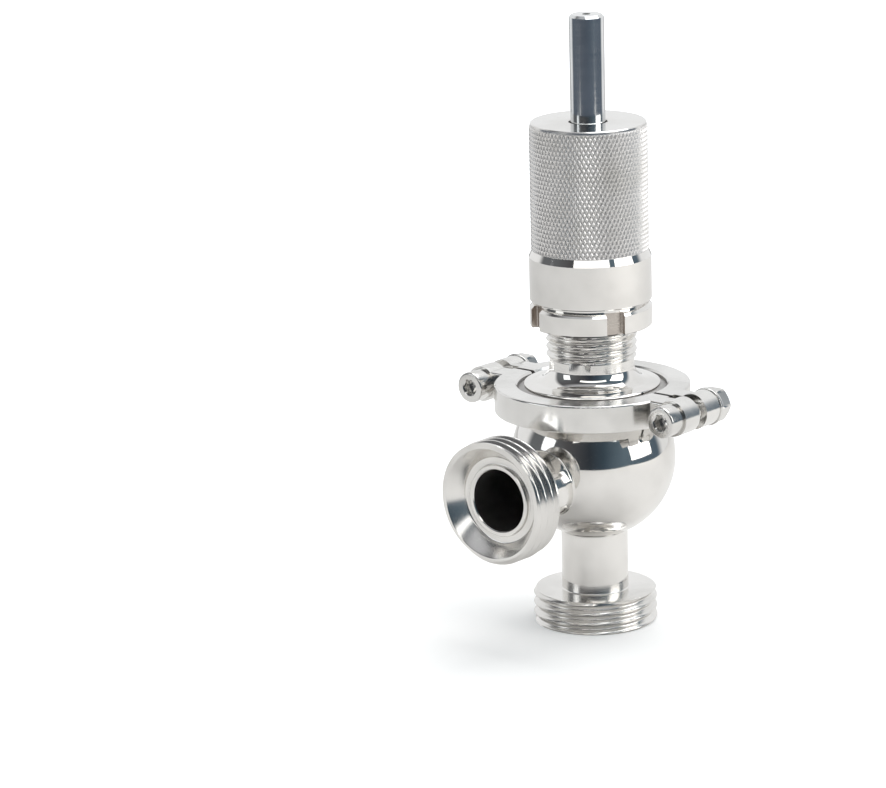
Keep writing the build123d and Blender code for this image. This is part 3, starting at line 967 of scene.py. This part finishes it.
@dataclass
class ClampScrews:
    """Socket head screws of the clamp, their washers and nuts."""

    seat: float = 11.75
    offset: float = 50.2
    height: float = JOINT
    head: float = 6.5
    head_height: float = 8.0
    socket: float = 3.0
    socket_depth: float = 4.0
    shank: float = 4.0
    length: float = 35.0
    plain: float = 7.0
    pitch: float = 1.25
    washer: float = 8.0
    washer_thickness: float = 1.6
    nut: float = 6.5
    nut_height: float = 6.5
    columns: int = 96

    def hexagon(self, angle: float, half_width: float) -> float:
        """Radius of a hexagon at an angle.

        Args:
            angle: Angle round its axis.
            half_width: Half its width across flats.

        Returns:
            The radius in mm.
        """
        sixth = math.tau / 6
        return half_width / math.cos((angle + sixth / 2) % sixth - sixth / 2)

    def screw_radius(self, radius: float, depth: float, angle: float) -> float:
        """Radius of a screw's surface, with its socket and thread.

        Args:
            radius: Radius of the turned blank; the socket's is negative.
            depth: Depth from the head's top.
            angle: Angle round the screw.

        Returns:
            The radius in mm.
        """
        if radius < 0:
            return self.hexagon(angle, -radius)
        start = self.head_height + self.plain
        thread = Thread(self.shank, 0.77, self.pitch, start, self.head_height + self.length, False, 0.9)
        return thread.radius(radius, depth, angle) if depth > start else radius

    def screw(self, side: int) -> bpy.types.Object:
        """Make one screw.

        Args:
            side: Which ear it goes through, -1 or 1.

        Returns:
            The screw's object.
        """
        total = self.head_height + self.length
        rest = self.seat + self.head_height
        spindle = Spindle((rest, side * self.offset, self.height), (-1.0, 0.0, 0.0), (0.0, 0.0, 1.0))
        profile = [(0.02, self.socket_depth + 0.9), (-self.socket * 0.9, self.socket_depth)]
        profile += [(-self.socket, self.socket_depth), (-self.socket, 0.45)]
        profile += [(self.socket * 1.22, 0.0), (self.head - 0.75, 0.0)]
        profile += arc((self.head - 0.75, 0.75), 0.75, -90, 0, 5)[1:]
        profile += [(self.head, self.head_height - 0.3), (self.head - 0.3, self.head_height)]
        profile += [(self.shank + 0.3, self.head_height), (self.shank, self.head_height + 0.3)]
        profile += [(self.shank, self.head_height + self.plain)]
        profile += steps(
            (self.shank, self.head_height + self.plain + 0.1), (self.shank, total - 0.9), 220
        )
        profile += [(self.shank, total - 0.9), (self.shank - 0.9, total), (0.02, total)]
        points, faces = turned_mesh(profile, spindle, self.columns, self.screw_radius, closed=False)
        return finish_mesh(f"clamp_screw_{'left' if side < 0 else 'right'}", points, faces)

    def washer_ring(self, side: int) -> bpy.types.Object:
        """Make one washer.

        Args:
            side: Which ear it lies on, -1 or 1.

        Returns:
            The washer's object.
        """
        spindle = Spindle(
            (-self.seat, side * self.offset, self.height), (-1.0, 0.0, 0.0), (0.0, 0.0, 1.0)
        )
        edge = 0.25
        thick = self.washer_thickness
        profile = [(4.2, 0.0)]
        profile += arc((self.washer - edge, edge), edge, -90, 0, 4)
        profile += arc((self.washer - edge, thick - edge), edge, 0, 90, 4)
        profile += [(4.45, thick), (4.2, thick - 0.25)]
        points, faces = turned_mesh(profile, spindle, self.columns)
        return finish_mesh(f"clamp_washer_{'left' if side < 0 else 'right'}", points, faces)

    def nut_radius(self, radius: float, depth: float, angle: float) -> float:
        """Radius of a nut's surface: its flats, cut by the chamfer cones.

        Args:
            radius: Radius of the turned blank; the hexagon's is negative.
            depth: Depth from the washer.
            angle: Angle round the nut.

        Returns:
            The radius in mm.
        """
        if radius >= 0:
            return radius
        near = min(depth, self.nut_height - depth)
        cone = self.nut - 0.15 + near / math.tan(math.radians(30.0))
        return min(self.hexagon(angle, -radius), cone)

    def hexagon_nut(self, side: int) -> bpy.types.Object:
        """Make one nut.

        Args:
            side: Which screw it sits on, -1 or 1.

        Returns:
            The nut's object.
        """
        start = -self.seat - self.washer_thickness
        spindle = Spindle((start, side * self.offset, self.height), (-1.0, 0.0, 0.0), (0.0, 0.0, 1.0))
        tall = self.nut_height
        rise = [0.0, 0.1, 0.2, 0.3, 0.42, 0.56, 0.75]
        profile = [(self.shank + 0.35, 0.0)]
        profile += [(-self.nut, height) for height in rise]
        profile += [(-self.nut, tall - height) for height in reversed(rise)]
        profile += [(self.shank + 0.35, tall), (self.shank - 0.4, tall - 0.75), (self.shank - 0.4, 0.75)]
        points, faces = turned_mesh(profile, spindle, self.columns, self.nut_radius)
        return finish_mesh(f"clamp_nut_{'left' if side < 0 else 'right'}", points, faces)

    def build(self) -> list[bpy.types.Object]:
        """Make and dress all the fasteners.

        Returns:
            Their objects.
        """
        pieces = []
        for make, node in (
            (self.screw, "clamp_screws"),
            (self.washer_ring, "clamp_washers"),
            (self.hexagon_nut, "clamp_nuts"),
        ):
            for side in (-1, 1):
                piece = make(side)
                piece.data.materials.append(FASTENER.material())
                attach(piece, "valve_body")
                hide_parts(node)
                pieces.append(piece)
        return pieces


@dataclass(frozen=True)
class ShadedDeepFaces:
    """Which faces of a node lie deep, inside a ball or near an axis; they get a darker finish as painted
    shade.
    """

    center: Triple
    axis: Triple
    radius: float
    reach: float = 1000.0
    clear: float = 0.0
    lean: float = 1.1
    finish: SteelFinish = INSIDE_SHADE

    def hold(self, face: bpy.types.MeshPolygon) -> bool:
        """Tell whether a face lies deep.

        Args:
            face: The face.

        Returns:
            True for a deep face.
        """
        offset = face.center / MM - Vector(self.center)
        along = offset.dot(Vector(self.axis))
        across = offset - along * Vector(self.axis)
        upright = abs(face.normal.dot(Vector(self.axis))) <= self.lean
        return upright and self.clear <= across.length < self.radius and abs(along) < self.reach

    def dress(self, piece: bpy.types.Object) -> None:
        """Give a piece's deep faces their darker finish, painted shade, as its last material.

        Args:
            piece: The piece, with its outer materials set.
        """
        piece.data.materials.append(self.finish.material())
        last = len(piece.data.materials) - 1
        for face in piece.data.polygons:
            if self.hold(face):
                face.material_index = last


BALL = (0.0, 0.0, 71.0)
OUTLET = (0.0, 0.0, 66.0)
CLAMP = (0.0, 0.0, JOINT)
RING = (0.0, 0.0, JOINT + 35.625)
UP = (0.0, 0.0, 1.0)
OUT = (1.0, 0.0, 0.0)
NO_AXIS = (0.0, 0.0, 0.0)


@dataclass
class PlainPieces:
    """Pieces that keep their CAD shape and get a finish."""

    # Deep faces of these nodes get a darker finish: painted shade.
    deep: dict = field(
        default_factory=lambda: {
            "inlet_tube": ShadedDeepFaces(BALL, UP, 13.4),
            "outlet_tube": ShadedDeepFaces(OUTLET, OUT, 13.4),
            "body_bowl": ShadedDeepFaces(BALL, NO_AXIS, 33.3),
            "body_ferrule": ShadedDeepFaces(BALL, UP, 28.0),
            "clamp_half_outlet": ShadedDeepFaces(CLAMP, UP, 36.8, 5.0),
            "clamp_half_rear": ShadedDeepFaces(CLAMP, UP, 36.8, 5.0),
            "lock_ring": ShadedDeepFaces(RING, UP, 25.1, 4.6, 20.0, 0.3, MILLED_SLOT_SHADE),
        }
    )

    finishes: dict = field(
        default_factory=lambda: {
            "inlet_tube": TUBE,
            "body_bowl": MIRROR,
            "outlet_tube": TUBE_OUTLET,
            "body_ferrule": MIRROR,
            "valve_seat": TURNED,
            "body_gasket": RUBBER,
            "clamp_half_outlet": CAST,
            "clamp_half_rear": CAST,
            "stem_seal": RUBBER,
            "guide_bush": PLASTIC,
            "stem": GROUND,
            "valve_disc": TURNED,
            "disc_seal": RUBBER,
            "seal_retainer": TURNED,
            "disc_nut": TURNED,
            "spring_circlip": WIRE,
            "lower_spring_plate": TURNED,
            "relief_spring": WIRE,
            "upper_spring_plate": TURNED,
            "thrust_washer": BRONZE,
            "lock_ring": MIRROR,
        }
    )

    def dress(self) -> list[bpy.types.Object]:
        """Put each finish on its node.

        Returns:
            The dressed nodes.
        """
        dressed = []
        for name, finish in self.finishes.items():
            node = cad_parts[name]
            node.data.materials.clear()
            node.data.materials.append(finish.material())
            if name in self.deep:
                self.deep[name].dress(node)
            dressed.append(node)
        return dressed


# ---------------------------------------------------------------- studio


ROOM = (
    (0.0, (0.16, 0.17, 0.18)),
    (0.2, (0.09, 0.09, 0.095)),
    (0.45, (0.036, 0.044, 0.055)),
    (0.62, (0.05, 0.075, 0.10)),
    (0.85, (0.13, 0.18, 0.22)),
    (1.0, (0.10, 0.14, 0.18)),
)


@dataclass(frozen=True)
class Lamp:
    """One soft light: where it hangs as seen from the camera, its size, power and colour."""

    name: str
    spot: Triple
    size: tuple[float, float]
    power: float
    color: Triple


LAMPS = (
    Lamp("light_overhead", (0.25, -0.25, 1.4), (1.2, 1.2), 15.0, (0.96, 0.98, 1.0)),
    Lamp("light_right", (1.25, 0.42, 0.55), (0.9, 0.9), 7.0, (1.0, 0.98, 0.95)),
    Lamp("light_front", (0.05, 1.0, 0.95), (1.5, 0.3), 2.4, (1.0, 0.99, 0.97)),
    Lamp("light_left", (-1.2, 0.42, 0.4), (0.45, 0.6), 1.3, (0.95, 0.98, 1.0)),
)


@dataclass
class Studio:
    """Pale floor, soft lights, surroundings and camera."""

    heading: float = math.radians(38.15)
    paper_front: float = 0.75
    paper_back: float = 3.0
    paper_side: float = 0.88
    lamp_aim: Triple = (0.0, 0.0, 0.11)
    lens: float = 185.3
    sensor: float = 36.0
    camera_spot: Triple = (1.44886, 1.13809, 0.5816)
    camera_forward: Triple = (-0.74005, -0.62293, -0.25349)
    camera_up: Triple = (-0.20967, -0.14443, 0.96705)

    def place(self, side: float, front: float, height: float) -> Vector:
        """Turn a place as seen from the camera into a point.

        Args:
            side: Metres to the right.
            front: Metres towards the camera.
            height: Metres up.

        Returns:
            The point.
        """
        toward = Vector((math.cos(self.heading), math.sin(self.heading), 0.0))
        right = Vector((-toward.y, toward.x, 0.0))
        return toward * front + right * side + Vector((0.0, 0.0, height))

    def floor(self) -> bpy.types.Object:
        """Make the pale floor; camera rays also see a bluish glow, weaker near the valve, so the floor
        round it is painted darker.

        Returns:
            The floor's object.
        """
        corners = [
            self.place(-self.paper_side, -self.paper_back, 0.0),
            self.place(self.paper_side, -self.paper_back, 0.0),
            self.place(self.paper_side, self.paper_front, 0.0),
            self.place(-self.paper_side, self.paper_front, 0.0),
        ]
        mesh = bpy.data.meshes.new("floor")
        mesh.from_pydata(corners, [], [(0, 1, 2, 3)])
        floor = bpy.data.objects.new("floor", mesh)
        bpy.context.scene.collection.objects.link(floor)
        paper = bpy.data.materials.new("floor_paper")
        paper.use_nodes = True
        paper.node_tree.nodes.clear()
        kit = NodeTree(paper.node_tree)
        diffuse = kit.add("ShaderNodeBsdfDiffuse", {"Color": (0.79, 0.775, 0.755, 1.0)})
        eye = kit.add("ShaderNodeLightPath").outputs["Is Camera Ray"]
        place = kit.add("ShaderNodeTexCoord").outputs["Object"]
        away = kit.add("ShaderNodeVectorMath", {0: place}, operation="LENGTH").outputs["Value"]
        # Painted light: the camera-only glow grows with distance from the valve, so the floor near it is
        # painted darker.
        painted_glow_lift = kit.remap(away, 0.05, 0.70, 0.30, 1.0)
        strength = kit.math("MULTIPLY", eye, painted_glow_lift)
        glow = kit.add("ShaderNodeEmission", {"Color": (0.92, 0.97, 1.0, 1.0), "Strength": strength})
        both = kit.add("ShaderNodeAddShader", {0: diffuse.outputs[0], 1: glow.outputs[0]})
        kit.add("ShaderNodeOutputMaterial", {"Surface": both.outputs[0]})
        mesh.materials.append(paper)
        return floor

    def surroundings(self) -> None:
        """Give the world its white backdrop and its dark room behind the camera."""
        world = bpy.data.worlds.new("studio")
        bpy.context.scene.world = world
        world.use_nodes = True
        world.node_tree.nodes.clear()
        kit = NodeTree(world.node_tree)
        heading = kit.add("ShaderNodeTexCoord").outputs["Generated"]
        toward = (math.cos(self.heading), math.sin(self.heading), 0.0)
        ahead = kit.add("ShaderNodeVectorMath", {0: heading, 1: toward}, operation="DOT_PRODUCT")
        across = (-toward[1], toward[0], 0.0)
        side = kit.add("ShaderNodeVectorMath", {0: heading, 1: across}, operation="DOT_PRODUCT")
        up = kit.add("ShaderNodeSeparateXYZ", {0: heading}).outputs[2]
        backdrop = kit.remap(ahead.outputs["Value"], -0.45, -0.20, 1.0, 0.0)
        ceiling = kit.remap(up, 0.75, 0.95, 0.0, 1.0)
        place = kit.math("MULTIPLY_ADD", side.outputs["Value"], 0.5, 0.5)
        room = kit.ramp(place, ROOM)
        ground = kit.remap(up, -0.24, -0.05, 1.0, 0.0)
        color = kit.mix_color(ground, room, (0.12, 0.145, 0.185, 1.0))
        color = kit.mix_color(backdrop, color, (0.95, 0.96, 0.97, 1.0))
        color = kit.mix_color(ceiling, color, (0.55, 0.56, 0.58, 1.0))
        around = kit.add("ShaderNodeBackground", {"Color": color, "Strength": 1.0})
        seen = kit.add("ShaderNodeBackground", {"Color": (1.0, 1.0, 1.0, 1.0), "Strength": 1.0})
        eye = kit.add("ShaderNodeLightPath").outputs["Is Camera Ray"]
        both = kit.add("ShaderNodeMixShader", {0: eye, 1: around.outputs[0], 2: seen.outputs[0]})
        kit.add("ShaderNodeOutputWorld", {"Surface": both.outputs[0]})

    def hang(self, lamp: Lamp) -> None:
        """Hang one soft light that faces the valve.

        Args:
            lamp: The light.
        """
        light = bpy.data.lights.new(lamp.name, "AREA")
        light.shape = "RECTANGLE"
        light.size, light.size_y = lamp.size
        light.energy = lamp.power
        light.color = lamp.color
        holder = bpy.data.objects.new(lamp.name, light)
        bpy.context.scene.collection.objects.link(holder)
        holder.location = self.place(*lamp.spot)
        aim = Vector(self.lamp_aim) - holder.location
        holder.rotation_euler = aim.to_track_quat("-Z", "Y").to_euler()
        holder.visible_camera = False

    def camera(self) -> None:
        """Set the camera at the chosen view."""
        lens = bpy.data.cameras.new("camera")
        lens.lens = self.lens
        lens.sensor_width = self.sensor
        lens.clip_end = 20.0
        holder = bpy.data.objects.new("camera", lens)
        bpy.context.scene.collection.objects.link(holder)
        forward = Vector(self.camera_forward).normalized()
        right = forward.cross(Vector(self.camera_up)).normalized()
        up = right.cross(forward)
        turn = Matrix((right, up, -forward)).transposed().to_4x4()
        holder.matrix_world = Matrix.Translation(self.camera_spot) @ turn
        bpy.context.scene.camera = holder

    def build(self) -> None:
        """Set up the whole studio."""
        self.floor()
        self.surroundings()
        for lamp in LAMPS:
            self.hang(lamp)
        self.camera()
        bpy.context.scene.view_settings.view_transform = "Standard"


# ---------------------------------------------------------------- making


def main() -> None:
    """Build and dress the valve, then the studio."""
    logging.basicConfig(level=logging.INFO)
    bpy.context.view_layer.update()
    outlet = Spindle((69.0, 0.0, 66.0), (-1.0, 0.0, 0.0), (0.0, 0.0, 1.0))
    builders = (
        UnionEnd("union_inlet_threaded", "inlet_union", VALVE_SPINDLE, THREADED),
        UnionEnd("union_outlet_threaded", "outlet_union", outlet, THREADED_OUTLET),
        Bonnet(),
        AdjustingCap(),
    )
    for builder in builders:
        piece = builder.build()
        log.info("%s: %d faces", piece.name, len(piece.data.polygons))
    for piece in ClampScrews().build():
        log.info("%s: %d faces", piece.name, len(piece.data.polygons))
    for node in PlainPieces().dress():
        log.info("%s: dressed", node.name)
    Studio().build()


if __name__ == "__main__":
    main()
